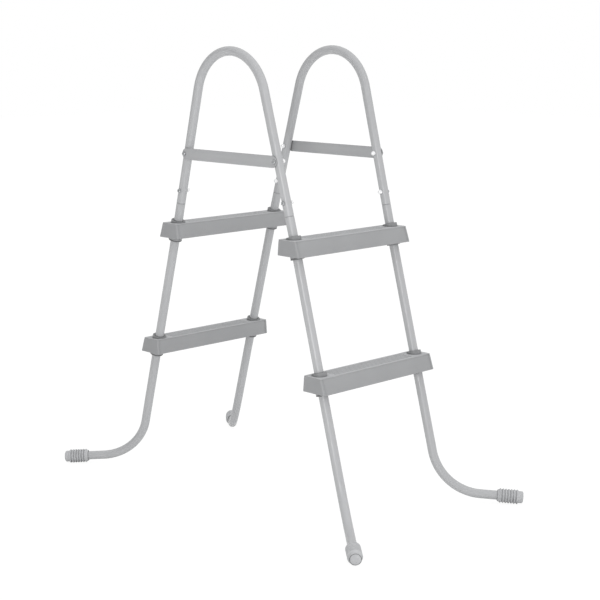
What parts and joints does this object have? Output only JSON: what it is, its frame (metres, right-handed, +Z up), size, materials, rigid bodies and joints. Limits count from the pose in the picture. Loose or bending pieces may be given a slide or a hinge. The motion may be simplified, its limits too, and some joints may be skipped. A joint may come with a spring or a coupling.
{
  "type": "pool ladder",
  "caption": "Free-standing A-frame ladder that straddles an above-ground pool wall: arched tube handrails, splayed feet and moulded treads on both sides.",
  "frame": {"origin": "on the ground under the middle of the ladder, where the pool wall stands", "axes": "+X to the entry side (front), -X to the pool side (rear), +Y along the treads to the right-hand handrail as seen from the front, +Z up"},
  "size_m": [1.088, 0.6162, 1.1074],
  "materials": {
    "coated_tube": "light grey powder coat, satin",
    "coated_bar": "light grey powder coat, satin",
    "tread_plastic": "mid grey moulded plastic, fine spark texture",
    "bush_plastic": "dark grey moulded plastic, matt",
    "cap_rubber": "mid grey soft moulding, matt",
    "zinc_steel": "bright zinc-plated steel"
  },
  "bodies": {
    "root": {"handrail_left": "coated_tube", "handrail_right": "coated_tube", "leg_front_left": "coated_tube", "leg_front_right": "coated_tube", "leg_rear_left": "coated_tube", "leg_rear_right": "coated_tube", "spreader_bar_left": "coated_bar", "spreader_bar_right": "coated_bar", "tread_front_lower": "tread_plastic", "tread_front_upper": "tread_plastic", "tread_rear_lower": "tread_plastic", "tread_rear_upper": "tread_plastic", "bush_top_front_lower_left": "bush_plastic", "bush_bottom_front_lower_left": "bush_plastic", "bush_top_front_lower_right": "bush_plastic", "bush_bottom_front_lower_right": "bush_plastic", "bush_top_front_upper_left": "bush_plastic", "bush_bottom_front_upper_left": "bush_plastic", "bush_top_front_upper_right": "bush_plastic", "bush_bottom_front_upper_right": "bush_plastic", "bush_top_rear_lower_left": "bush_plastic", "bush_bottom_rear_lower_left": "bush_plastic", "bush_top_rear_lower_right": "bush_plastic", "bush_bottom_rear_lower_right": "bush_plastic", "bush_top_rear_upper_left": "bush_plastic", "bush_bottom_rear_upper_left": "bush_plastic", "bush_top_rear_upper_right": "bush_plastic", "bush_bottom_rear_upper_right": "bush_plastic", "foot_cap_front_left": "cap_rubber", "foot_cap_front_right": "cap_rubber", "foot_cap_rear_left": "cap_rubber", "foot_cap_rear_right": "cap_rubber", "bolt_bar_front_left": "zinc_steel", "cap_nut_bar_front_left": "zinc_steel", "bolt_joint_front_left": "zinc_steel", "cap_nut_joint_front_left": "zinc_steel", "bolt_bar_front_right": "zinc_steel", "cap_nut_bar_front_right": "zinc_steel", "bolt_joint_front_right": "zinc_steel", "cap_nut_joint_front_right": "zinc_steel", "bolt_bar_rear_left": "zinc_steel", "cap_nut_bar_rear_left": "zinc_steel", "bolt_joint_rear_left": "zinc_steel", "cap_nut_joint_rear_left": "zinc_steel", "bolt_bar_rear_right": "zinc_steel", "cap_nut_bar_rear_right": "zinc_steel", "bolt_joint_rear_right": "zinc_steel", "cap_nut_joint_rear_right": "zinc_steel"}
  },
  "joints": []
}
